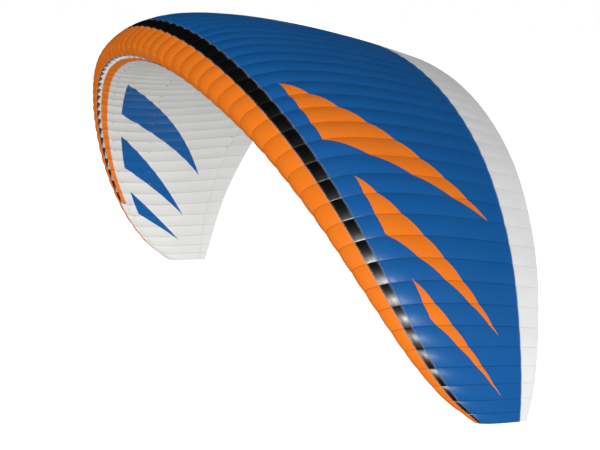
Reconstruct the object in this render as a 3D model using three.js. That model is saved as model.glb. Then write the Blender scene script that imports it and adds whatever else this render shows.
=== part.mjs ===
// A ram-air paraglider wing in flight shape: two thin cloth skins, held apart by ribs, along an arched span.
// Millimetres. X is the span, with +X the right side, -Y is forward and +Z is up. The origin is where the
// lines pull, under the centre.
import * as THREE from 'three';

// ---- Driving dimensions ----
const HALF_SPAN = 6000; // flat, along the arch
const SHEET = 1.5; // the cloth's thickness
const GAP = 0.3; // between neighbouring pieces
const ATTACHMENT_PLACE = 0.3; // where the lines pull, as a part of the centre chord

// The profile, as parts of the chord: a bowed thickness on both sides of a cambered mean line. The bow is a
// root term for the round nose and four plain powers.
const PROFILE = { thickness: 0.186, camber: 0.03, camberPlace: 0.25 };
const BOW = { root: 0.2969, first: -0.126, second: -0.3516, third: 0.2843, fourth: -0.1036 };
const BOW_SCALE = 5;
const SEAT_POWER = 4; // how soon the two skins part ahead of the trailing edge
const SMALL = 1e-3; // step for slopes along the profile

// The arch: tilt of a cell, in radians, grows with its place u along the half span.
const ARCH = { linear: 0.75, cubic: 0.32, fifth: 0.5 };
const ARCH_STEPS = 400;

// Cells narrow towards the tips.
const CELL = { narrowing: 0.62, power: 4.4 };

// Plan form, by place along the half span: the chord, and how far the leading edge lies behind the centre's.
const PLAN = [
  { u: 0.0, chord: 2700, sweep: 0 },
  { u: 0.3, chord: 2585, sweep: 110 },
  { u: 0.55, chord: 2235, sweep: 375 },
  { u: 0.75, chord: 1745, sweep: 710 },
  { u: 0.88, chord: 1260, sweep: 1055 },
  { u: 0.96, chord: 825, sweep: 1405 },
  { u: 1.0, chord: 450, sweep: 1720 },
];

// Edges of the panels, as parts of the chord. Those of the intake are on the underside.
const UPPER_LIP = 0.016;
const LOWER_LIP = 0.036;
const LIP_END = 0.066;
const NOSE_END = 0.056;
const STRIPE_END = 0.105;
const TRAILING_START = 0.85;

// The ribs at which a band is cut into panels. Two ribs stand beside the centre cell: there is no rib 0.
// The panels around the middle intakes are the shortest.
const TIP_RIB = 31;
const LAST_INTAKE_RIB = 25;
const IN_THREE = [-TIP_RIB, -7, 7, TIP_RIB];
const IN_FIVE = [-TIP_RIB, -19, -7, 7, 19, TIP_RIB];
const NOSE_CUTS = [-TIP_RIB, -6, -5, -4, -3, -1, 1, 3, 4, 5, 6, TIP_RIB];
const LIP_CUTS = [-LAST_INTAKE_RIB, -7, -5, -2, 2, 5, 7, LAST_INTAKE_RIB];

// Bands from seam to seam, front to back above and back to front below, as parts of the chord.
const UPPER_BANDS = [
  { name: 'nose', start: -UPPER_LIP, end: NOSE_END, steps: 5, colour: 'orange', cuts: NOSE_CUTS },
  { name: 'stripe', start: NOSE_END, end: STRIPE_END, steps: 1, colour: 'black', cuts: IN_THREE },
  { name: 'upper_main', start: STRIPE_END, end: TRAILING_START, steps: 5, colour: 'blue', cuts: IN_FIVE },
  { name: 'upper_trailing', start: TRAILING_START, end: 1, steps: 1, colour: 'white', cuts: IN_THREE },
];
const LOWER_BANDS = [
  { name: 'lower_trailing', start: -1, end: -TRAILING_START, steps: 1, colour: 'shade', cuts: IN_THREE },
  { name: 'lower_main', start: -TRAILING_START, end: -LIP_END, steps: 4, colour: 'white', cuts: IN_FIVE },
];
const LIP = { name: 'lip', start: -LIP_END, end: -LOWER_LIP, steps: 1, colour: 'orange', cuts: LIP_CUTS };
const CLOSED_NOSE = {
  name: 'closed_nose',
  start: -LIP_END,
  middle: -LOWER_LIP,
  end: -UPPER_LIP,
  colour: 'white',
};
const STEPS_A_CELL = 2;

// A rib stands on every seam. Every third one is built here, as far out as the cells are open in front, and
// each has a round crossport.
const BUILT_RIB_STEP = 3;
const RIB_SHORT = 0.15; // how much of the last panel behind a rib stays free of it
const CROSSPORT = { place: 0.1, radius: 0.03, sides: 10 };

// Billow: how far the cloth stands out between two ribs, as a part of the cell's width.
const BILLOW = { upper: 0.1, lower: 0.06, nose: 0.5, noseReach: 0.08, fade: 0.7 };

const COLOURS = {
  orange: 0xf0780a,
  black: 0x101114,
  blue: 0x00549a,
  white: 0xe6e6e3,
  shade: 0xdcdcd8,
};

// ---- Plan and arch ----
function planAt(u, key) {
  const last = PLAN.length - 1;
  const at = (i) => PLAN[i][key];
  const slope = (i) => {
    if (i === 0) return 0;
    const low = Math.max(i - 1, 0);
    const high = Math.min(i + 1, last);
    return (at(high) - at(low)) / (PLAN[high].u - PLAN[low].u);
  };
  let i = 0;
  while (i < last - 1 && u > PLAN[i + 1].u) i += 1;
  const width = PLAN[i + 1].u - PLAN[i].u;
  const t = (u - PLAN[i].u) / width;
  const rise = at(i + 1) - at(i);
  const start = slope(i) * width;
  const end = slope(i + 1) * width;
  const square = 3 * rise - 2 * start - end;
  const cube = start + end - 2 * rise;
  return at(i) + start * t + square * t ** 2 + cube * t ** 3;
}

function tilt(u) {
  return ARCH.linear * u + ARCH.cubic * u ** 3 + ARCH.fifth * u ** 5;
}

function archAt(u) {
  const step = (u * HALF_SPAN) / ARCH_STEPS;
  let out = 0;
  let drop = 0;
  for (let i = 0; i < ARCH_STEPS; i += 1) {
    const angle = tilt((u * (i + 0.5)) / ARCH_STEPS);
    out += step * Math.cos(angle);
    drop += step * Math.sin(angle);
  }
  return { out, drop };
}

// ---- Profile ----
// g runs from -1, the trailing edge below, over 0, the nose, to 1, the trailing edge above.
function profileAt(g) {
  const x = g * g;
  const powers = BOW.first * x + BOW.second * x ** 2 + BOW.third * x ** 3 + BOW.fourth * x ** 4;
  const half = BOW_SCALE * PROFILE.thickness * (BOW.root * Math.abs(g) + powers);
  const p = PROFILE.camberPlace;
  const ahead = (PROFILE.camber / p ** 2) * (2 * p * x - x * x);
  const behind = (PROFILE.camber / (1 - p) ** 2) * (1 - 2 * p + 2 * p * x - x * x);
  return { x, height: (x < p ? ahead : behind) + Math.sign(g) * half };
}

// ---- Ribs ----
function makeRib(index) {
  const u = ribPlace(index);
  const { out, drop } = archAt(u);
  const chord = planAt(u, 'chord');
  const sweep = planAt(u, 'sweep');
  return { index, side: 1, chord, sweep, out, drop, angle: tilt(u) };
}

function cellWidth(index) {
  return 1 - CELL.narrowing * (index / (TIP_RIB - 1)) ** CELL.power;
}

function ribPlace(index) {
  let reach = 0.5;
  let whole = 0.5;
  for (let i = 1; i < TIP_RIB; i += 1) {
    if (i < index) reach += cellWidth(i);
    whole += cellWidth(i);
  }
  return reach / whole;
}

const centreChord = PLAN[0].chord;
const attachment = profileAt(-Math.sqrt(ATTACHMENT_PLACE));
const ORIGIN = new THREE.Vector3(0, ATTACHMENT_PLACE * centreChord, attachment.height * centreChord);

// A point of a rib's outline in the rib's own plane. The two skins lie side by side at the trailing edge, so
// each is raised a little there.
function outlineAt(rib, g) {
  const { x, height } = profileAt(g);
  const seat = Math.sign(g) * (SHEET + GAP / 2) * x ** SEAT_POWER;
  return new THREE.Vector2(x * rib.chord, height * rib.chord + seat);
}

// The way out of the wing, in a rib's plane.
function outwardAt(g) {
  const ahead = profileAt(g + SMALL);
  const behind = profileAt(g - SMALL);
  return new THREE.Vector2(behind.height - ahead.height, ahead.x - behind.x).normalize();
}

// From a rib's plane, chordwise and upwards, to the wing.
function turned(rib, { x, y }) {
  return new THREE.Vector3(rib.side * y * Math.sin(rib.angle), x, y * Math.cos(rib.angle));
}

function ribOrigin(rib) {
  return new THREE.Vector3(rib.side * rib.out, rib.sweep, -rib.drop).sub(ORIGIN);
}

function pointAt(rib, g) {
  return ribOrigin(rib).add(turned(rib, outlineAt(rib, g)));
}

// ---- Cloth between two ribs ----
function billowAt(g) {
  const x = g * g;
  const size = g >= 0 ? BILLOW.upper : BILLOW.lower;
  const front = BILLOW.nose + (1 - BILLOW.nose) * Math.min(1, x / BILLOW.noseReach);
  const back = Math.max(0, 1 - x) ** BILLOW.fade;
  return size * front * back;
}

function clothAt(left, right, across, g) {
  const a = pointAt(left, g);
  const b = pointAt(right, g);
  const out = outwardAt(g);
  const normal = turned(left, out).lerp(turned(right, out), across).normalize();
  const rise = 4 * across * (1 - across) * billowAt(g) * a.distanceTo(b);
  const outer = a.lerp(b, across).addScaledVector(normal, rise);
  return { outer, inner: outer.clone().addScaledVector(normal, -SHEET) };
}

// ---- Meshes ----
// A grid of cloth points, closed around its edge. Rows run across the span and follow one another rearwards.
function sheetGeometry(rows) {
  const tall = rows.length;
  const wide = rows[0].length;
  const count = tall * wide;
  const faces = [];
  const quad = (a, b, c, d) => faces.push(a, b, c, a, c, d);
  for (let r = 0; r < tall - 1; r += 1) {
    for (let c = 0; c < wide - 1; c += 1) {
      const i = r * wide + c;
      quad(i, i + 1, i + wide + 1, i + wide);
      quad(count + i, count + i + wide, count + i + wide + 1, count + i + 1);
    }
  }
  const edge = [];
  for (let c = 0; c < wide - 1; c += 1) edge.push(c);
  for (let r = 0; r < tall - 1; r += 1) edge.push(r * wide + wide - 1);
  for (let c = wide - 1; c > 0; c -= 1) edge.push((tall - 1) * wide + c);
  for (let r = tall - 1; r > 0; r -= 1) edge.push(r * wide);
  edge.forEach((from, i) => {
    const to = edge[(i + 1) % edge.length];
    quad(to, from, count + from, count + to);
  });
  const points = rows.flat();
  const corners = [...points.map((point) => point.outer), ...points.map((point) => point.inner)];
  const geometry = new THREE.BufferGeometry().setFromPoints(corners);
  geometry.setIndex(faces);
  geometry.computeVertexNormals();
  return geometry;
}

// ---- Panels ----
function speedAt(g) {
  const a = profileAt(g - SMALL);
  const b = profileAt(g + SMALL);
  return Math.hypot(b.x - a.x, b.height - a.height) / (2 * SMALL);
}

function cellPairs(from, to) {
  const numbers = [];
  for (let number = from; number <= to; number += 1) {
    if (number !== 0) numbers.push(number);
  }
  return numbers.slice(1).map((number, i) => [ribs.get(numbers[i]), ribs.get(number)]);
}

// The columns of a panel's grid: a cell and how far across it, from rib to rib.
function columnsOf(from, to) {
  const cells = cellPairs(from, to);
  const columns = [];
  cells.forEach(([left, right], i) => {
    const inset = GAP / 2 / ribOrigin(left).distanceTo(ribOrigin(right));
    for (let step = 0; step < STEPS_A_CELL; step += 1) {
      const across = i === 0 && step === 0 ? inset : step / STEPS_A_CELL;
      columns.push({ left, right, across });
    }
    if (i === cells.length - 1) columns.push({ left, right, across: 1 - inset });
  });
  return columns;
}

function panelGeometry(from, to, band) {
  const columns = columnsOf(from, to);
  const places = rowsOf(band);
  const last = places.length - 1;
  const rows = places.map((row, i) =>
    columns.map(({ left, right, across }) => {
      const chord = left.chord + (right.chord - left.chord) * across;
      const seam = GAP / 2 / (speedAt(row) * chord);
      let g = row;
      if (i === 0 && row > -1) g += seam;
      if (i === last && row < 1) g -= seam;
      return clothAt(left, right, across, g);
    }),
  );
  return sheetGeometry(rows);
}

// Below the nose a place on the chord counts as negative.
function signedRoot(place) {
  return Math.sign(place) * Math.sqrt(Math.abs(place));
}

// The places of a panel's rows, as values of g.
function rowsOf(band) {
  if (band.middle) return [band.start, band.middle, band.end].map(signedRoot);
  const first = signedRoot(band.start);
  const last = signedRoot(band.end);
  return Array.from({ length: band.steps + 1 }, (_, row) => first + ((last - first) * row) / band.steps);
}

// ---- Ribs as flat plates, a gap inside the cloth ----
// How steeply the cloth falls away beside a rib, towards the neighbour where it is steepest.
function leanAt(rib, g) {
  const here = pointAt(rib, g);
  const out = turned(rib, outwardAt(g));
  const neighbours = [rib.index - 1, rib.index + 1].map((index) => ribs.get(index * rib.side));
  const leans = neighbours.filter(Boolean).map((neighbour) => {
    const along = pointAt(neighbour, g).sub(here);
    const rise = along.dot(out);
    return Math.abs(rise) / Math.sqrt(along.lengthSq() - rise * rise);
  });
  return Math.max(...leans);
}

function ribOutline(rib) {
  const rows = [...LOWER_BANDS, LIP, ...UPPER_BANDS].flatMap(rowsOf);
  const places = rows.filter((g, i) => i === 0 || g > rows[i - 1]);
  const outline = places.map((g) => {
    const inset = SHEET + GAP + (SHEET / 2) * leanAt(rib, g);
    return outlineAt(rib, g).addScaledVector(outwardAt(g), -inset);
  });
  const end = outline.length - 1;
  outline[0].lerp(outline[1], RIB_SHORT);
  outline[end].lerp(outline[end - 1], RIB_SHORT);
  return outline;
}

function ribMesh(rib, name, hole) {
  const outline = ribOutline(rib);
  const shape = new THREE.Shape(outline);
  if (hole) {
    const { x, height } = profileAt(Math.sqrt(CROSSPORT.place));
    const below = profileAt(-Math.sqrt(CROSSPORT.place)).height;
    const path = new THREE.Path();
    const middle = ((height + below) / 2) * rib.chord;
    path.absarc(x * rib.chord, middle, CROSSPORT.radius * rib.chord, 0, 2 * Math.PI);
    shape.holes.push(path);
  }
  const options = { depth: SHEET, bevelEnabled: false, steps: 1, curveSegments: CROSSPORT.sides / 2 };
  const geometry = new THREE.ExtrudeGeometry(shape, options);
  geometry.translate(0, 0, -SHEET / 2);
  const chordwise = turned(rib, new THREE.Vector2(1, 0));
  const upwards = turned(rib, new THREE.Vector2(0, 1));
  const outwards = chordwise.clone().cross(upwards);
  const mesh = namedMesh(name, geometry, COLOURS.white);
  mesh.quaternion.setFromRotationMatrix(new THREE.Matrix4().makeBasis(chordwise, upwards, outwards));
  mesh.position.copy(ribOrigin(rib));
  return mesh;
}

function namedMesh(name, geometry, colour) {
  const material = new THREE.MeshStandardMaterial({ color: colour, roughness: 0.6, metalness: 0 });
  const mesh = new THREE.Mesh(geometry, material);
  mesh.name = name;
  return mesh;
}

// ---- The wing ----
const ribs = new Map();
for (let index = 1; index <= TIP_RIB; index += 1) {
  ribs.set(index, makeRib(index));
  ribs.set(-index, { ...makeRib(index), side: -1 });
}

const wing = new THREE.Group();
for (const band of [...UPPER_BANDS, ...LOWER_BANDS, LIP]) {
  for (let panel = 1; panel < band.cuts.length; panel += 1) {
    const geometry = panelGeometry(band.cuts[panel - 1], band.cuts[panel], band);
    wing.add(namedMesh(`${band.name}_${panel}`, geometry, COLOURS[band.colour]));
  }
}
for (const [name, from, to] of [
  ['left', -TIP_RIB, -LAST_INTAKE_RIB],
  ['right', LAST_INTAKE_RIB, TIP_RIB],
]) {
  const panel = panelGeometry(from, to, CLOSED_NOSE);
  wing.add(namedMesh(`${CLOSED_NOSE.name}_${name}`, panel, COLOURS[CLOSED_NOSE.colour]));
}
for (const [name, side] of [
  ['left', -1],
  ['right', 1],
]) {
  for (let index = 1; index <= LAST_INTAKE_RIB; index += BUILT_RIB_STEP) {
    wing.add(ribMesh(ribs.get(side * index), `rib_${name}_${String(index).padStart(2, '0')}`, true));
  }
  wing.add(ribMesh(ribs.get(side * TIP_RIB), `tip_closure_${name}`, false));
}

export default wing;
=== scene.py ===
"""A ram-air paraglider wing in flight shape, dressed as cloth around its CAD frame. Metres.

X is the span, with +X the wing's right side, -Y is forward and +Z is up. The origin is where the lines pull.
The named sizes and the shape functions repeat those of the part's source.
"""

import math
from collections import namedtuple

import bmesh
import bpy
import numpy as np
from mathutils import Matrix, Vector


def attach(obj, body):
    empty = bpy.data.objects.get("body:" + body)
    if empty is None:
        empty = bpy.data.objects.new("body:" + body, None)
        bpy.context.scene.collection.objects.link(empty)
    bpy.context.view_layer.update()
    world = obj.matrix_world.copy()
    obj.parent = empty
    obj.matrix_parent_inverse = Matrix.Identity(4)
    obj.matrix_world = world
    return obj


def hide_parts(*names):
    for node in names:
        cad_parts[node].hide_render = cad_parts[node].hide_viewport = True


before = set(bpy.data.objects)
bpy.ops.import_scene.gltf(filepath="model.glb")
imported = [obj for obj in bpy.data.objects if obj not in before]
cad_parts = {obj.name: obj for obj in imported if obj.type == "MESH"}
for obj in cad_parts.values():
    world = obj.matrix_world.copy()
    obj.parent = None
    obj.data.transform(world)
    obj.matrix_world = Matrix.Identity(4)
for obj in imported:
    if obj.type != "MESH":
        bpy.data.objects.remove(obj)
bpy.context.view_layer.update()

# ---- Sizes of the source ----
HALF_SPAN = 6.0
TIP_RIB = 31
SHEET = 0.0015
GAP = 0.0003
ATTACHMENT_PLACE = 0.3
THICKNESS, CAMBER, CAMBER_PLACE = 0.186, 0.03, 0.25
BOW_ROOT, BOW = 0.2969, (-0.126, -0.3516, 0.2843, -0.1036)
BOW_SCALE = 5
SEAT_POWER = 4
ARCH = ((1, 0.75), (3, 0.32), (5, 0.5))  # power of the place along the span, radians
ARCH_STEPS = 400
NARROWING, NARROWING_POWER = 0.62, 4.4
PLAN = (  # place along the half span, chord, sweep of the leading edge
    (0.0, 2.700, 0.000),
    (0.3, 2.585, 0.110),
    (0.55, 2.235, 0.375),
    (0.75, 1.745, 0.710),
    (0.88, 1.260, 1.055),
    (0.96, 0.825, 1.405),
    (1.0, 0.450, 1.720),
)
CHORD, SWEEP = 1, 2
UPPER_LIP, LOWER_LIP, LIP_END = 0.016, 0.036, 0.066
NOSE_END, STRIPE_END, TRAILING_START = 0.056, 0.105, 0.85
BILLOW_UPPER, BILLOW_LOWER = 0.1, 0.06
BILLOW_NOSE, BILLOW_NOSE_REACH, BILLOW_FADE = 0.5, 0.08, 0.7
CROSSPORT_PLACE, CROSSPORT_RADIUS = 0.1, 0.03
SLOPE_STEP = 1e-3  # for slopes along the profile
BUILT_RIB_STEP = 3
LAST_INTAKE_RIB = 25
IN_THREE = (-TIP_RIB, -7, 7, TIP_RIB)
IN_FIVE = (-TIP_RIB, -19, -7, 7, 19, TIP_RIB)
NOSE_CUTS = (-TIP_RIB, -6, -5, -4, -3, -1, 1, 3, 4, 5, 6, TIP_RIB)
LIP_CUTS = (-LAST_INTAKE_RIB, -7, -5, -2, 2, 5, 7, LAST_INTAKE_RIB)

# ---- Sizes of the cloth ----
SHARP_EDGE = 35  # degrees
HOLE_SIDES = 28
CLOTH = 0.0005  # thickness of a modelled sheet
SEAM_DIP = 0.0010  # how far a seam between two cells is drawn in
SEAM_HALF = 0.003  # half the width of that groove
SEAM_ROOM = 0.010  # where the cloth is free of the seam
CELL_STEPS = 12
FELL, FELL_SLOPE = 0.009, 0.002  # the doubled cloth along a band's two edges
FELL_SHARE = 0.2  # of the band, where the band is narrow
FELL_RISE, FELL_DEPTH = 0.0004, 0.0010  # how far it stands out, and how far in
RIPSTOP_PITCH, RIPSTOP_LINE = 0.005, 0.0004
STITCH_PITCH, STITCH_SHARE, STITCH_LINE = 0.004, 0.7, 0.0004
STITCH_ROWS = (0.003, 0.0075)  # from a band's edge
CREASE_PLACE, CREASE_HALF = -0.004, 0.0018  # the seam along the nose: signed square roots of the chord place
LOOP_WIDTH, LOOP_LENGTH, LOOP_SPREAD, LOOP_THICKNESS = 0.008, 0.015, 0.008, 0.0012
LOOP_SINK = 0.0012  # how far a loop's ends go into its seam
LOOP_BENDS = 9
LOOP_STEP = 0.01  # along the profile, to find the chordwise way at a loop
LOOP_ROWS = (("front", 0.093, 26), ("middle", 0.315, 23), ("rear", 0.83, 20))  # place, last rib

# A band of one colour: its edges as parts of the chord, the ribs where the cloth and the CAD panels are cut.
Band = namedtuple("Band", "name start end rows finish slot cuts node_cuts")
BANDS = (
    Band("nose", -UPPER_LIP, NOSE_END, 14, "orange", "cloth_orange", (-TIP_RIB, -6, 6, TIP_RIB), NOSE_CUTS),
    Band("stripe", NOSE_END, STRIPE_END, 4, "black", "cloth_black", IN_THREE, IN_THREE),
    Band("upper_main", STRIPE_END, TRAILING_START, 34, "blue", "cloth_blue", IN_FIVE, IN_FIVE),
    Band("upper_trailing", TRAILING_START, 1, 7, "white", "cloth_white", IN_THREE, IN_THREE),
    # The shade and under finishes use the underside's white, which is painted darker as painted shade.
    Band("lower_trailing", -1, -TRAILING_START, 7, "shade", "cloth_grey", IN_THREE, IN_THREE),
    Band("lower_main", -TRAILING_START, -LIP_END, 34, "under", "cloth_white", IN_FIVE, IN_FIVE),
)
LIP_ENDS = (-LAST_INTAKE_RIB, -7, 7, LAST_INTAKE_RIB)
LIP = Band("lip", -LIP_END, -LOWER_LIP, 4, "orange", "cloth_orange", LIP_ENDS, LIP_CUTS)
CLOSED_NOSE = Band("closed_nose", -LIP_END, -UPPER_LIP, 7, "shade", "cloth_white", (), ())

Rib = namedtuple("Rib", "index side chord sweep out drop angle")


# ---- Shape ----
def plan_at(u, key):
    last = len(PLAN) - 1

    def slope(i):
        if i == 0:
            return 0.0
        low, high = max(i - 1, 0), min(i + 1, last)
        return (PLAN[high][key] - PLAN[low][key]) / (PLAN[high][0] - PLAN[low][0])

    i = 0
    while i < last - 1 and u > PLAN[i + 1][0]:
        i += 1
    width = PLAN[i + 1][0] - PLAN[i][0]
    t = (u - PLAN[i][0]) / width
    rise = PLAN[i + 1][key] - PLAN[i][key]
    start, end = slope(i) * width, slope(i + 1) * width
    square, cube = 3 * rise - 2 * start - end, start + end - 2 * rise
    return PLAN[i][key] + start * t + square * t**2 + cube * t**3


def tilt(u):
    return sum(size * u**power for power, size in ARCH)


def arch_at(u):
    angle = tilt(u * (np.arange(ARCH_STEPS) + 0.5) / ARCH_STEPS)
    step = u * HALF_SPAN / ARCH_STEPS
    return step * np.cos(angle).sum(), step * np.sin(angle).sum()


def cell_width(index):
    return 1 - NARROWING * (index / (TIP_RIB - 1)) ** NARROWING_POWER


def rib_place(index):
    widths = [cell_width(i) for i in range(1, TIP_RIB)]
    return (0.5 + sum(widths[: index - 1])) / (0.5 + sum(widths))


def make_rib(index):
    u = rib_place(abs(index))
    out, drop = arch_at(u)
    return Rib(index, math.copysign(1, index), plan_at(u, CHORD), plan_at(u, SWEEP), out, drop, tilt(u))


def profile_at(g):
    """Height and chordwise place: g runs from -1, the trailing edge below, over 0, the nose, to 1 above."""
    x = g * g
    powers = sum(k * x ** (i + 1) for i, k in enumerate(BOW))
    half = BOW_SCALE * THICKNESS * (BOW_ROOT * np.abs(g) + powers)
    p = CAMBER_PLACE
    ahead = CAMBER / p**2 * (2 * p * x - x * x)
    behind = CAMBER / (1 - p) ** 2 * (1 - 2 * p + 2 * p * x - x * x)
    return x, np.where(x < p, ahead, behind) + np.sign(g) * half


def outward_at(g):
    """The way out of the wing, in a rib's plane."""
    (x0, h0), (x1, h1) = profile_at(g - SLOPE_STEP), profile_at(g + SLOPE_STEP)
    normal = np.stack([h0 - h1, x1 - x0], axis=-1)
    return normal / np.linalg.norm(normal, axis=-1, keepdims=True)


def outline_at(rib, g):
    x, height = profile_at(g)
    seat = np.sign(g) * (SHEET + GAP / 2) * x**SEAT_POWER
    return np.stack([x * rib.chord, height * rib.chord + seat], axis=-1)


def turned(rib, flat):
    """From a rib's plane, chordwise and upwards, to the wing."""
    x, y = flat[..., 0], flat[..., 1]
    return np.stack([rib.side * y * math.sin(rib.angle), x, y * math.cos(rib.angle)], axis=-1)


def rib_origin(rib):
    return np.array([rib.side * rib.out, rib.sweep, -rib.drop]) - ORIGIN


def point_at(rib, g):
    return rib_origin(rib) + turned(rib, outline_at(rib, g))


def billow_at(g):
    x = g * g
    front = BILLOW_NOSE + (1 - BILLOW_NOSE) * np.minimum(1, x / BILLOW_NOSE_REACH)
    return np.where(g >= 0, BILLOW_UPPER, BILLOW_LOWER) * front * np.maximum(0, 1 - x) ** BILLOW_FADE


def cloth_at(left, right, across, g):
    """Points and normals of the cloth of one cell, a row for each g and a column for each place across."""
    a, b = point_at(left, g)[:, None], point_at(right, g)[:, None]
    v = across[None, :, None]
    out = outward_at(g)
    normal = turned(left, out)[:, None] * (1 - v) + turned(right, out)[:, None] * v
    normal = normal / np.linalg.norm(normal, axis=-1, keepdims=True)
    width = np.linalg.norm(b - a, axis=-1, keepdims=True)
    rise = 4 * v * (1 - v) * billow_at(g)[:, None, None] * width
    away = np.minimum(v, 1 - v) * width
    groove = SEAM_DIP * np.clip(1 - away / SEAM_HALF, 0, 1)
    return a * (1 - v) + b * v + normal * (rise - groove), normal


def signed_root(place):
    return math.copysign(math.sqrt(abs(place)), place)


def speed_at(g):
    (x0, h0), (x1, h1) = profile_at(g - SLOPE_STEP), profile_at(g + SLOPE_STEP)
    return np.hypot(x1 - x0, h1 - h0) / (2 * SLOPE_STEP)


def rows_of(band, chord):
    """Places of a band's rows, with two rows beside each edge for the felled seam."""
    even = np.linspace(signed_root(band.start), signed_root(band.end), band.rows + 1)
    room = even[-1] - even[0]

    def beside(edge):
        step = np.array([FELL, FELL + FELL_SLOPE]) / float(speed_at(edge * 0.999) * chord)
        return np.minimum(step, np.array([FELL_SHARE, FELL_SHARE * 1.2]) * room)

    start, end = beside(even[0]), beside(even[-1])
    inner = even[(even > even[0] + start[1] * 1.2) & (even < even[-1] - end[1] * 1.2)]
    wanted = np.linspace(inner[0], inner[-1], band.rows - 1) if len(inner) > 1 else even[1:-1]
    return np.concatenate([even[:1], even[0] + start, wanted, even[-1] - end[::-1], even[-1:]])


def felled(count):
    """1 on the rows of a band's doubled edges, 0 between them."""
    rows = np.zeros(count)
    rows[[0, 1, -2, -1]] = 1
    return rows


def length_along(g):
    """Distance from the nose along the profile of a chord of 1, negative below."""
    fine = np.linspace(0, 1, 400)
    lengths = []
    for sign in (-1, 1):
        x, height = profile_at(sign * fine)
        walked = np.concatenate([[0], np.cumsum(np.hypot(np.diff(x), np.diff(height)))])
        lengths.append(sign * np.interp(np.abs(g), fine, walked))
    return np.where(g < 0, lengths[0], lengths[1])


ORIGIN = np.array([0, ATTACHMENT_PLACE, float(profile_at(np.array(-math.sqrt(ATTACHMENT_PLACE)))[1])])
ORIGIN = ORIGIN * PLAN[0][CHORD]
RIBS = {i: make_rib(i) for i in range(-TIP_RIB, TIP_RIB + 1) if i}


def cells_between(start, end):
    numbers = [i for i in range(start, end + 1) if i]
    return [(RIBS[a], RIBS[b]) for a, b in zip(numbers, numbers[1:])]


def span_place(rib):
    """Place along the span in cells, from the middle of the centre cell."""
    return rib.index - 0.5 * rib.side


# ---- Mesh building ----
def new_piece(name, verts, faces, finish):
    mesh = bpy.data.meshes.new(name)
    mesh.from_pydata(verts, [], faces)
    mesh.materials.append(finish)
    mesh.shade_smooth()
    mesh.set_sharp_from_angle(angle=math.radians(SHARP_EDGE))
    piece = bpy.data.objects.new(name, mesh)
    bpy.context.scene.collection.objects.link(piece)
    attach(piece, "root")
    return piece


def uv_layer(mesh, name, per_vertex):
    """A UV map from one pair of numbers for each vertex."""
    layer = mesh.uv_layers.new(name=name)
    corner = np.zeros(len(mesh.loops), np.int32)
    mesh.loops.foreach_get("vertex_index", corner)
    layer.data.foreach_set("uv", np.asarray(per_vertex, np.float32)[corner].ravel())


def grid_faces(tall, wide):
    """Faces of a grid of outer points followed by the same grid of inner points, closed around its edge."""
    index = np.arange(tall * wide).reshape(tall, wide)
    count = tall * wide
    a, b, c, d = index[:-1, :-1], index[:-1, 1:], index[1:, 1:], index[1:, :-1]
    outer = np.stack([a, b, c, d], axis=-1).reshape(-1, 4)
    inner = np.stack([a, d, c, b], axis=-1).reshape(-1, 4) + count
    ring = np.concatenate([index[0], index[1:, -1], index[-1, -2::-1], index[-2:0:-1, 0]])
    after = np.roll(ring, -1)
    rim = np.stack([after, ring, ring + count, after + count], axis=-1)
    return np.concatenate([outer, inner, rim])


def across_steps(left, right):
    width = np.linalg.norm(rib_origin(right) - rib_origin(left))
    even = np.arange(1, CELL_STEPS) / CELL_STEPS
    near = np.array([SEAM_HALF, SEAM_ROOM]) / width
    return np.concatenate([[0], near, even, 1 - near[::-1], [1]])


def make_skin(name, band, start, end, nodes):
    """One panel of cloth over several cells, as a thin closed sheet."""
    parts = {"outer": [], "normal": [], "plan": [], "cloth": [], "seam": []}
    cells = cells_between(start, end)
    reach = 0.0
    for i, (left, right) in enumerate(cells):
        g = rows_of(band, (left.chord + right.chord) / 2)
        across = across_steps(left, right)
        if i < len(cells) - 1:
            across = across[:-1]
        points, normal = cloth_at(left, right, across, g)
        chord = left.chord + (right.chord - left.chord) * across
        width = np.linalg.norm(rib_origin(right) - rib_origin(left))
        parts["outer"].append(points + normal * (FELL_RISE * felled(len(g)))[:, None, None])
        parts["normal"].append(normal)
        parts["plan"].append(grid_pair((span_place(left) + across)[None], (np.sign(g) * g * g)[:, None]))
        along_chord = length_along(g)[:, None] * chord[None]
        parts["cloth"].append(grid_pair((reach + across * width)[None], along_chord))
        from_seam = (np.minimum(across, 1 - across) * width)[None]
        parts["seam"].append(grid_pair(from_seam, np.zeros((len(g), 1))))
        reach += width
    outer, normals, plan, cloth, seam = (np.concatenate(rows, axis=1) for rows in parts.values())
    tall, wide = outer.shape[:2]
    depth = (CLOTH + FELL_DEPTH * felled(tall))[:, None, None]
    verts = np.concatenate([outer.reshape(-1, 3), (outer - normals * depth).reshape(-1, 3)])
    piece = new_piece(name, verts, grid_faces(tall, wide).tolist(), FINISH[band.finish])
    along = cloth[..., 1]
    edge = np.stack([along - along[:1], along[-1:] - along], axis=-1)
    for key, pairs in (("plan", plan), ("cloth", cloth), ("seam", seam), ("edge", edge)):
        uv_layer(piece.data, key, np.tile(pairs.reshape(-1, 2), (2, 1)))
    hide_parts(*nodes)
    width, length, area = cut_of(outer)


def grid_pair(across, along):
    return np.stack(np.broadcast_arrays(across, along), axis=-1)


def cut_of(outer):
    """A panel's cut, measured on its outer face: its width along the span, its length and its area."""
    width, length = (np.linalg.norm(np.diff(outer, axis=k), axis=-1).sum(axis=k).max() for k in (1, 0))
    falling, rising = outer[1:, 1:] - outer[:-1, :-1], outer[:-1, 1:] - outer[1:, :-1]
    area = np.linalg.norm(np.cross(falling, rising), axis=-1).sum() / 2
    return float(width), float(length), float(area)


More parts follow.
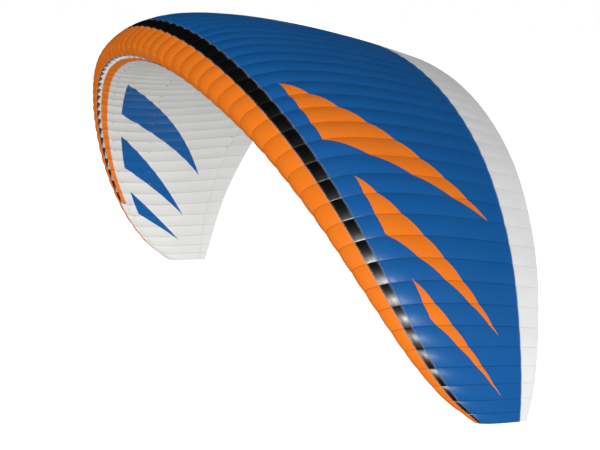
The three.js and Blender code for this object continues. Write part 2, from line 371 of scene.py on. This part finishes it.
# ---- Materials ----
class Tree:
    """Short calls that build a material's nodes. A value is a number, a colour or another node's output."""

    def __init__(self, name):
        self.material = bpy.data.materials.new(name)
        self.material.use_nodes = True
        self.tree = self.material.node_tree
        self.shader = self.tree.nodes["Principled BSDF"]

    def put(self, socket, value):
        if isinstance(value, bpy.types.NodeSocket):
            self.tree.links.new(value, socket)
        else:
            socket.default_value = value

    def node(self, kind, inputs, out=0, **settings):
        node = self.tree.nodes.new(f"ShaderNode{kind}")
        for key, value in settings.items():
            setattr(node, key, value)
        for key, value in inputs.items():
            self.put(node.inputs[key], value)
        return node.outputs[out]

    def math(self, operation, a, b=0.0, c=0.0):
        return self.node("Math", {0: a, 1: b, 2: c}, operation=operation)

    def mix(self, factor, a, b):
        return self.node("Mix", {0: factor, 6: a, 7: b}, out=2, data_type="RGBA")

    def step(self, value, low, high, start=0.0, end=1.0):
        """A smooth step from start to end, as the value goes from low to high."""
        limits = {0: value, 1: low, 2: high, 3: start, 4: end}
        return self.node("MapRange", limits, interpolation_type="SMOOTHSTEP")

    def uv(self, name):
        vector = self.node("UVMap", {}, uv_map=name)
        split = self.tree.nodes.new("ShaderNodeSeparateXYZ")
        self.put(split.inputs[0], vector)
        return split.outputs[0], split.outputs[1]

    def noise(self, vector, scale, detail=2.0):
        return self.node("TexNoise", {"Vector": vector, "Scale": scale, "Detail": detail})

    def stretched(self, u, v, across, along):
        """Noise from -0.5 to 0.5 over a map whose two directions are scaled apart."""
        parts = {0: self.math("MULTIPLY", u, across), 1: self.math("MULTIPLY", v, along)}
        return self.math("SUBTRACT", self.noise(self.node("CombineXYZ", parts), 1.0), 0.5)

    def lines(self, value, pitch, half):
        """1 on thin lines a pitch apart."""
        near = self.math("PINGPONG", value, pitch / 2)
        return self.step(near, half, half * 2, 1.0, 0.0)

    def line(self, value, place, half):
        return self.step(self.math("ABSOLUTE", self.math("SUBTRACT", value, place)), half, half * 2, 1.0, 0.0)

    def finish(self, colour, height, roughness, ior):
        self.put(self.shader.inputs["Base Color"], colour)
        self.put(self.shader.inputs["Roughness"], roughness)
        self.shader.inputs["IOR"].default_value = ior
        bump = self.node("Bump", {"Height": height, "Distance": 1.0, "Strength": 1.0})
        self.put(self.shader.inputs["Normal"], bump)
        return self.material


def shade(colour, factor):
    return (*(min(1.0, channel * factor) for channel in colour), 1)


def object_place(t):
    return t.node("TexCoord", {}, out=3)


def grid_of(t, u, v):
    """The square grid of thicker threads in ripstop cloth."""
    lines = [t.lines(value, RIPSTOP_PITCH, RIPSTOP_LINE) for value in (u, v)]
    return t.math("MAXIMUM", *lines)


def bars_mask(t, bars):
    """Slanting bars that taper rearwards, the same on both halves. A bar is in cells from the tip."""
    span, place = t.uv("plan")
    place = t.math("ABSOLUTE", place)
    from_tip = t.math("SUBTRACT", TIP_RIB - 0.5, t.math("ABSOLUTE", span))
    mask = 0.0
    for bar in bars:
        share = t.math("DIVIDE", t.math("SUBTRACT", place, bar.start), bar.end - bar.start)
        middle = t.math("MULTIPLY_ADD", share, bar.slant, bar.cell)
        off = t.math("ABSOLUTE", t.math("SUBTRACT", from_tip, middle))
        half = t.math("MULTIPLY_ADD", share, -bar.half, bar.half)
        inside = t.math("LESS_THAN", off, half)
        after = t.math("GREATER_THAN", share, 0.0)
        before = t.math("LESS_THAN", share, 1.0)
        whole = t.math("MULTIPLY", inside, t.math("MULTIPLY", after, before))
        mask = t.math("MAXIMUM", mask, whole)
    return mask


Bar = namedtuple("Bar", "cell half start end slant")
UPPER_BARS = (
    Bar(17.0, 2.0, 0.17, 0.76, -6.0),
    Bar(11.5, 1.4, 0.20, 0.68, -6.0),
    Bar(7.2, 0.9, 0.23, 0.60, -5.0),
)
LOWER_BARS = (
    Bar(17.5, 2.4, 0.14, 0.70, -9.0),
    Bar(11.0, 1.6, 0.14, 0.60, -6.0),
    Bar(6.2, 1.0, 0.14, 0.50, -3.6),
)
ORANGE, BLUE, BLACK = (0.94, 0.205, 0.003), (0.0002, 0.107, 0.37), (0.0012, 0.0012, 0.0013)
# The underside's white is the same white cloth as the upper white, painted darker as painted shade.
UPPER_WHITE, UNDER_WHITE_PAINTED_SHADE, RIB_WHITE = (0.88, 0.885, 0.89), (0.77, 0.765, 0.745), (0.86, 0.86, 0.86)


# How dark or light each mark is, how high it stands, and over what distance it fades, in metres.
DYE_DARK, DYE_LIGHT = 0.90, 1.07
GRID_SHADE, FELL_SHADE, STITCH_SHADE, CREASE_PAINTED_HIGHLIGHT = 0.10, 0.10, 0.35, 0.25
GRID_HEIGHT, STITCH_HEIGHT, CREASE_HEIGHT, SOFT_HEIGHT = 0.00002, 0.0002, 0.0006, 0.0020
SEAM_FADE, PUCKER_FADE, GATHER_FADE = (0.0015, 0.0075), (0.004, 0.060), (0.004, 0.070)
PUCKER_FINE, PUCKER_COARSE = 26.0, 5.0
NO_COLOUR, FULL_COLOUR = (0.0, 0.0, 0.0, 1), (1.0, 1.0, 1.0, 1)


def cloth_material(
    name,
    colour,
    bars=(),
    bar_colour=None,
    crease=False,
    # How bright the cloth stays at a cell seam. The darkening there is painted shade in the seam's groove,
    # with some seam allowance showing.
    seam_painted_shade=0.72,
    pucker=0.0016,
    ior=1.5,
    rough=(0.37, 0.42),
):
    """Coated ripstop in cells: grid, seams darkened partly by the seam allowance and partly by painted shade
    in their grooves, felled edges with stitches, puckers and a soft unevenness.
    """
    t = Tree(name)
    u, v = t.uv("cloth")
    to_seam, _ = t.uv("seam")
    to_edge = t.math("MINIMUM", *t.uv("edge"))
    where = object_place(t)
    grid = grid_of(t, u, v)
    uneven = t.noise(where, 1.3, 4.0)
    dyed = t.mix(uneven, shade(colour, DYE_DARK), shade(colour, DYE_LIGHT))
    if bars:
        printed = t.mix(uneven, shade(bar_colour, DYE_DARK), shade(bar_colour, DYE_LIGHT))
        dyed = t.mix(bars_mask(t, bars), dyed, printed)
    threads = t.mix(t.math("MULTIPLY", grid, GRID_SHADE), dyed, NO_COLOUR)
    # Darker towards each cell seam: partly the seam allowance, partly painted shade in the seam's groove.
    seam = t.step(to_seam, *SEAM_FADE, 1 - seam_painted_shade, 0.0)
    fell = t.step(to_edge, FELL, FELL + FELL_SLOPE, FELL_SHADE, 0.0)
    sewn_with_painted_shade = t.mix(t.math("MAXIMUM", seam, fell), threads, NO_COLOUR)
    half_pitch = STITCH_PITCH / 2
    dash = t.math("LESS_THAN", t.math("PINGPONG", u, half_pitch), half_pitch * STITCH_SHARE)
    rows = [t.line(to_edge, row, STITCH_LINE) for row in STITCH_ROWS]
    stitches = t.math("MULTIPLY", t.math("MAXIMUM", *rows), dash)
    colour_out = t.mix(t.math("MULTIPLY", stitches, STITCH_SHADE), sewn_with_painted_shade, FULL_COLOUR)
    ridge = 0.0
    if crease:
        _, place = t.uv("plan")
        root = t.math("POWER", t.math("ABSOLUTE", place), 0.5)
        ridge = t.line(t.math("MULTIPLY", root, t.math("SIGN", place)), CREASE_PLACE, CREASE_HALF)
        # Painted highlight: the cloth is lightened along the ridge of the nose crease.
        colour_out = t.mix(t.math("MULTIPLY", ridge, CREASE_PAINTED_HIGHLIGHT), colour_out, FULL_COLOUR)
        ridge = t.math("MULTIPLY", ridge, CREASE_HEIGHT)
    near_seam = t.step(to_seam, *PUCKER_FADE, pucker, 0.0)
    near_edge = t.step(to_edge, *GATHER_FADE, pucker, 0.0)
    puckers = t.math("MULTIPLY", t.stretched(u, v, PUCKER_COARSE, PUCKER_FINE), near_seam)
    gathers = t.math("MULTIPLY", t.stretched(u, v, PUCKER_FINE, PUCKER_COARSE), near_edge)
    soft = t.math("MULTIPLY", t.noise(where, 5.0, 3.0), SOFT_HEIGHT)
    height = t.math("MULTIPLY_ADD", grid, GRID_HEIGHT, ridge)
    for part in (puckers, gathers, soft, t.math("MULTIPLY", stitches, STITCH_HEIGHT)):
        height = t.math("ADD", height, part)
    roughness = t.step(t.noise(where, 9.0, 3.0), 0.3, 0.7, *rough)
    return t.finish(colour_out, height, roughness, ior)


RIB_GRID_SHADE = 0.12


def rib_material(name, colour):
    """Stiff plain cloth with a ripstop grid and a few soft creases."""
    t = Tree(name)
    u, v = t.uv("cloth")
    where = object_place(t)
    grid = grid_of(t, u, v)
    dyed = t.mix(t.noise(where, 2.5, 4.0), shade(colour, 0.92), shade(colour, 1.06))
    threads = t.mix(t.math("MULTIPLY", grid, RIB_GRID_SHADE), dyed, NO_COLOUR)
    creases = t.math("MULTIPLY", t.noise(where, 8.0, 3.0), SOFT_HEIGHT)
    height = t.math("MULTIPLY_ADD", grid, GRID_HEIGHT, creases)
    return t.finish(threads, height, t.step(t.noise(where, 11.0), 0.3, 0.7, 0.58, 0.66), 1.6)


def webbing_material(name, colour):
    """Narrow woven tape: diagonal ribs of thread, darker between them."""
    t = Tree(name)
    u, v = t.uv("cloth")
    twill = t.lines(t.math("ADD", u, v), 0.0016, 0.0003)
    weft = t.lines(v, 0.0009, 0.00015)
    weave = t.math("MAXIMUM", twill, t.math("MULTIPLY", weft, 0.5))
    uneven = t.mix(t.noise(object_place(t), 60.0), shade(colour, 0.85), shade(colour, 1.05))
    woven = t.mix(t.math("MULTIPLY", weave, 0.45), uneven, shade(colour, 0.4))
    height = t.math("MULTIPLY", weave, -0.00015)
    return t.finish(woven, height, t.step(weave, 0.0, 1.0, 0.62, 0.75), 1.5)


FINISH = {
    "orange": cloth_material("orange_cloth", ORANGE, crease=True),
    "black": cloth_material("black_cloth", BLACK, pucker=0.0007, ior=2.0, rough=(0.38, 0.43)),
    "blue": cloth_material("blue_cloth", BLUE, UPPER_BARS, ORANGE, ior=1.55, rough=(0.38, 0.43)),
    # The seam figures set how far painted shade darkens each cell seam.
    "white": cloth_material("white_cloth", UPPER_WHITE, seam_painted_shade=0.86),
    # The underside's white holds painted shade: it is the upper white cloth painted darker.
    "shade": cloth_material("white_trailing_cloth_painted_shade", UNDER_WHITE_PAINTED_SHADE, seam_painted_shade=0.78),
    "under": cloth_material("white_under_cloth_painted_shade", UNDER_WHITE_PAINTED_SHADE, LOWER_BARS, BLUE, seam_painted_shade=0.72),
    "rib": rib_material("rib_cloth", RIB_WHITE),
    "webbing": webbing_material("orange_webbing", ORANGE),
}


# ---- Skins ----
def nodes_within(band, start, end):
    pairs = enumerate(zip(band.node_cuts, band.node_cuts[1:]), start=1)
    return [f"{band.name}_{number}" for number, (a, b) in pairs if a >= start and b <= end]


for band in (*BANDS, LIP):
    for number, (start, end) in enumerate(zip(band.cuts, band.cuts[1:]), start=1):
        nodes = nodes_within(band, start, end)
        make_skin(f"skin_{band.name}_{number}", band, start, end, nodes)
for side, start, end in (("left", -TIP_RIB, -LAST_INTAKE_RIB), ("right", LAST_INTAKE_RIB, TIP_RIB)):
    make_skin(f"skin_closed_nose_{side}", CLOSED_NOSE, start, end, [f"closed_nose_{side}"])


# ---- Ribs ----
def lean_at(rib, g):
    here = point_at(rib, g)
    out = turned(rib, outward_at(g))
    leans = []
    for index in (rib.index - 1, rib.index + 1):
        index = index or int(math.copysign(1, index - rib.index))
        if index in RIBS:
            along = point_at(RIBS[index], g) - here
            rise = (along * out).sum(axis=-1)
            leans.append(np.abs(rise) / np.sqrt((along**2).sum(axis=-1) - rise**2))
    return np.max(leans, axis=0)


def make_rib_piece(index):
    rib = RIBS[index]
    side = "left" if index < 0 else "right"
    number = f"{abs(index):02d}"
    tip = abs(index) == TIP_RIB
    bands = (BANDS[4], BANDS[5], LIP, *BANDS[:4])
    g = np.concatenate([rows_of(band, rib.chord)[:-1] for band in bands] + [[1.0]])
    inset = SHEET + GAP + SHEET / 2 * lean_at(rib, g)
    outline = outline_at(rib, g) - outward_at(g) * inset[:, None]
    outline = outline[1:-1]
    x, height = profile_at(np.array([math.sqrt(CROSSPORT_PLACE), -math.sqrt(CROSSPORT_PLACE)]))
    middle = np.array([x[0], height.mean()]) * rib.chord
    turn = np.linspace(0, 2 * math.pi, HOLE_SIDES, endpoint=False)
    hole = middle + CROSSPORT_RADIUS * rib.chord * np.stack([np.cos(turn), np.sin(turn)], axis=-1)
    loops = [outline] if tip else [outline, hole]
    origin = rib_origin(rib)
    sideways = np.cross(turned(rib, np.array([1.0, 0])), turned(rib, np.array([0, 1.0])))
    bm = bmesh.new()
    edges = []
    for loop in loops:
        verts = [bm.verts.new(origin + turned(rib, p) - sideways * CLOTH / 2) for p in loop]
        edges += [bm.edges.new((a, b)) for a, b in zip(verts, verts[1:] + verts[:1])]
    filled = bmesh.ops.triangle_fill(bm, use_beauty=True, use_dissolve=False, edges=edges)
    faces = [f for f in filled["geom"] if isinstance(f, bmesh.types.BMFace)]
    raised = bmesh.ops.extrude_face_region(bm, geom=faces)
    moved = [v for v in raised["geom"] if isinstance(v, bmesh.types.BMVert)]
    bmesh.ops.translate(bm, verts=moved, vec=Vector(sideways * CLOTH))
    bmesh.ops.recalc_face_normals(bm, faces=bm.faces)
    name = f"cloth_tip_{side}" if tip else f"cloth_rib_{side}_{number}"
    mesh = bpy.data.meshes.new(name)
    bm.to_mesh(mesh)
    bm.free()
    mesh.materials.append(FINISH["rib"])
    flat_axes = np.array([turned(rib, np.array([1.0, 0])), turned(rib, np.array([0, 1.0]))])
    corners = np.array([vert.co for vert in mesh.vertices]) - origin
    uv_layer(mesh, "cloth", corners @ flat_axes.T)
    piece = bpy.data.objects.new(name, mesh)
    bpy.context.scene.collection.objects.link(piece)
    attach(piece, "root")
    if tip:
        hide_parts(f"tip_closure_{side}")
    elif abs(index) % BUILT_RIB_STEP == 1 and abs(index) <= LAST_INTAKE_RIB:
        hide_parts(f"rib_{side}_{number}")
    a, b = outline, np.roll(outline, -1, axis=0)
    area = abs((a[:, 0] * b[:, 1] - a[:, 1] * b[:, 0]).sum()) / 2
    if not tip:
        area -= math.pi * (CROSSPORT_RADIUS * rib.chord) ** 2


for index in RIBS:
    make_rib_piece(index)


# ---- Loops for the lines ----
def loop_path():
    """A loop's middle line, chordwise and outwards."""
    half, drop = LOOP_SPREAD / 2, LOOP_LENGTH - LOOP_SPREAD / 2
    turn = np.linspace(0, math.pi, LOOP_BENDS)
    bend = np.stack([-half * np.cos(turn), drop + half * np.sin(turn)], axis=-1)
    return np.concatenate([[[-half, -LOOP_SINK]], bend, [[half, -LOOP_SINK]]])


def make_loops(name, side, place, last):
    """The loops of one row on one side, each sewn into the seam over its rib."""
    path = loop_path()
    slope = np.gradient(path, axis=0)
    slope /= np.linalg.norm(slope, axis=-1, keepdims=True)
    aside = np.stack([-slope[:, 1], slope[:, 0]], axis=-1) * LOOP_THICKNESS / 2
    walked = np.concatenate([[0], np.cumsum(np.linalg.norm(np.diff(path, axis=0), axis=-1))])
    corners = ((1, 1), (1, -1), (-1, -1), (-1, 1))
    g = np.array([-math.sqrt(place), -math.sqrt(place) + LOOP_STEP])
    verts, faces, flat = [], [], []
    for index in range(1, last + 1):
        if index % BUILT_RIB_STEP == 0:
            continue
        rib = RIBS[side * index]
        base, ahead = point_at(rib, g)
        chordwise = (ahead - base) / np.linalg.norm(ahead - base)
        out = turned(rib, outward_at(g[:1])[0])
        spanwise = np.cross(chordwise, out)
        first = len(verts)
        for centre, off, far in zip(path, aside, walked):
            for across, thick in corners:
                at = centre + off * thick
                verts.append(base + chordwise * at[0] + out * at[1] + spanwise * across * LOOP_WIDTH / 2)
                flat.append((across * LOOP_WIDTH / 2, far))
        last_ring = first + 4 * (len(path) - 1)
        for ring in range(first, last_ring, 4):
            faces += [(ring + k, ring + (k + 1) % 4, ring + 4 + (k + 1) % 4, ring + 4 + k) for k in range(4)]
        faces.append(tuple(first + k for k in (3, 2, 1, 0)))
        faces.append(tuple(last_ring + k for k in range(4)))
    piece = new_piece(name, verts, faces, FINISH["webbing"])
    uv_layer(piece.data, "cloth", flat)


for side_name, side in (("left", -1), ("right", 1)):
    for row, place, last in LOOP_ROWS:
        make_loops(f"loops_{row}_{side_name}", side, place, last)


# ---- Stage, light and camera ----
PHOTO_WIDTH = 600
CAMERA_PLACE = (21.135, -6.185, 1.136)
CAMERA_AZIMUTH, CAMERA_ELEVATION, CAMERA_ROLL = 71.32, 6.95, 1.82  # degrees
CAMERA_FOCAL = 2235.8  # pixels of the photograph
SENSOR = 36.0
CLIP_END = 2000
SUNS = (  # name, azimuth, elevation, strength, angle, whether it glints
    ("key", 67, 6, 2.25, 6, True),
    ("fill", 250, 15, 0.6, 20, False),
)
DOME_ABOVE, DOME_BELOW, DOME_ANGLE = 0.39, 0.56, 50
FLOOR_HEIGHT, FLOOR_HALF, FLOOR_GLOW = -60, 3000, 0.75


def aim(azimuth, elevation, roll=0.0):
    """A turn whose -Z looks at that azimuth, 0 along +Y and 90 along -X, and down by that elevation."""
    az, el, tip = (math.radians(x) for x in (azimuth, elevation, roll))
    ahead = Vector((-math.sin(az) * math.cos(el), math.cos(az) * math.cos(el), -math.sin(el)))
    right = Vector((math.cos(az), math.sin(az), 0))
    up = right.cross(ahead)
    right2 = right * math.cos(tip) + up * math.sin(tip)
    up2 = up * math.cos(tip) - right * math.sin(tip)
    return Matrix((right2, up2, -ahead)).transposed()


def make_camera():
    data = bpy.data.cameras.new("camera")
    data.sensor_width = SENSOR
    data.lens = CAMERA_FOCAL * SENSOR / PHOTO_WIDTH
    data.clip_end = CLIP_END
    camera = bpy.data.objects.new("camera", data)
    turn = aim(CAMERA_AZIMUTH, CAMERA_ELEVATION, CAMERA_ROLL)
    camera.matrix_world = Matrix.Translation(CAMERA_PLACE) @ turn.to_4x4()
    bpy.context.scene.collection.objects.link(camera)
    bpy.context.scene.camera = camera


def make_sun(name, azimuth, elevation, strength, angle, glossy):
    data = bpy.data.lights.new(name, "SUN")
    data.energy = strength
    data.angle = math.radians(angle)
    lamp = bpy.data.objects.new(name, data)
    lamp.matrix_world = aim(azimuth, elevation).to_4x4()
    lamp.visible_glossy = glossy
    bpy.context.scene.collection.objects.link(lamp)


def make_dome():
    """An even light from 14 sides, the corners and faces of a cube, as wide soft suns without a glint."""
    corner = math.degrees(math.asin(1 / math.sqrt(3)))
    sides = [(0, -90), (0, 90)]
    for quarter in (0, 90, 180, 270):
        sides += [(quarter, 0), (quarter + 45, corner), (quarter + 45, -corner)]
    for number, (azimuth, elevation) in enumerate(sides):
        height = (1 + math.sin(math.radians(elevation))) / 2
        radiance = DOME_BELOW + (DOME_ABOVE - DOME_BELOW) * height
        strength = 4 * math.pi * radiance / len(sides)
        make_sun(f"dome_{number}", azimuth, elevation, strength, DOME_ANGLE, False)


def make_world():
    """White behind the object. It lights nothing."""
    world = bpy.data.worlds.new("studio")
    bpy.context.scene.world = world
    world.use_nodes = True
    tree = world.node_tree
    tree.nodes.clear()
    seen, dark = tree.nodes.new("ShaderNodeBackground"), tree.nodes.new("ShaderNodeBackground")
    seen.inputs["Color"].default_value = (1, 1, 1, 1)
    dark.inputs["Color"].default_value = (0, 0, 0, 1)
    path, mix = tree.nodes.new("ShaderNodeLightPath"), tree.nodes.new("ShaderNodeMixShader")
    out = tree.nodes.new("ShaderNodeOutputWorld")
    tree.links.new(path.outputs["Is Camera Ray"], mix.inputs["Fac"])
    tree.links.new(dark.outputs[0], mix.inputs[1])
    tree.links.new(seen.outputs[0], mix.inputs[2])
    tree.links.new(mix.outputs[0], out.inputs["Surface"])


def make_floor():
    """A pale floor, far enough below to be out of the way of a low view."""
    material = bpy.data.materials.new("pale_floor")
    material.use_nodes = True
    shader = material.node_tree.nodes["Principled BSDF"]
    shader.inputs["Base Color"].default_value = (0.9, 0.9, 0.9, 1)
    shader.inputs["Roughness"].default_value = 0.9
    shader.inputs["Emission Color"].default_value = (1, 1, 1, 1)
    shader.inputs["Emission Strength"].default_value = FLOOR_GLOW
    mesh = bpy.data.meshes.new("floor")
    square = ((-1, -1), (1, -1), (1, 1), (-1, 1))
    corners = [(x * FLOOR_HALF, y * FLOOR_HALF, FLOOR_HEIGHT) for x, y in square]
    mesh.from_pydata(corners, [], [(0, 1, 2, 3)])
    mesh.materials.append(material)
    floor = bpy.data.objects.new("floor", mesh)
    floor.visible_diffuse = False
    floor.visible_glossy = False
    floor.visible_shadow = False
    bpy.context.scene.collection.objects.link(floor)


make_camera()
for sun in SUNS:
    make_sun(*sun)
make_dome()
make_world()
make_floor()
bpy.context.scene.view_settings.view_transform = "Standard"
bpy.context.scene.view_settings.look = "None"
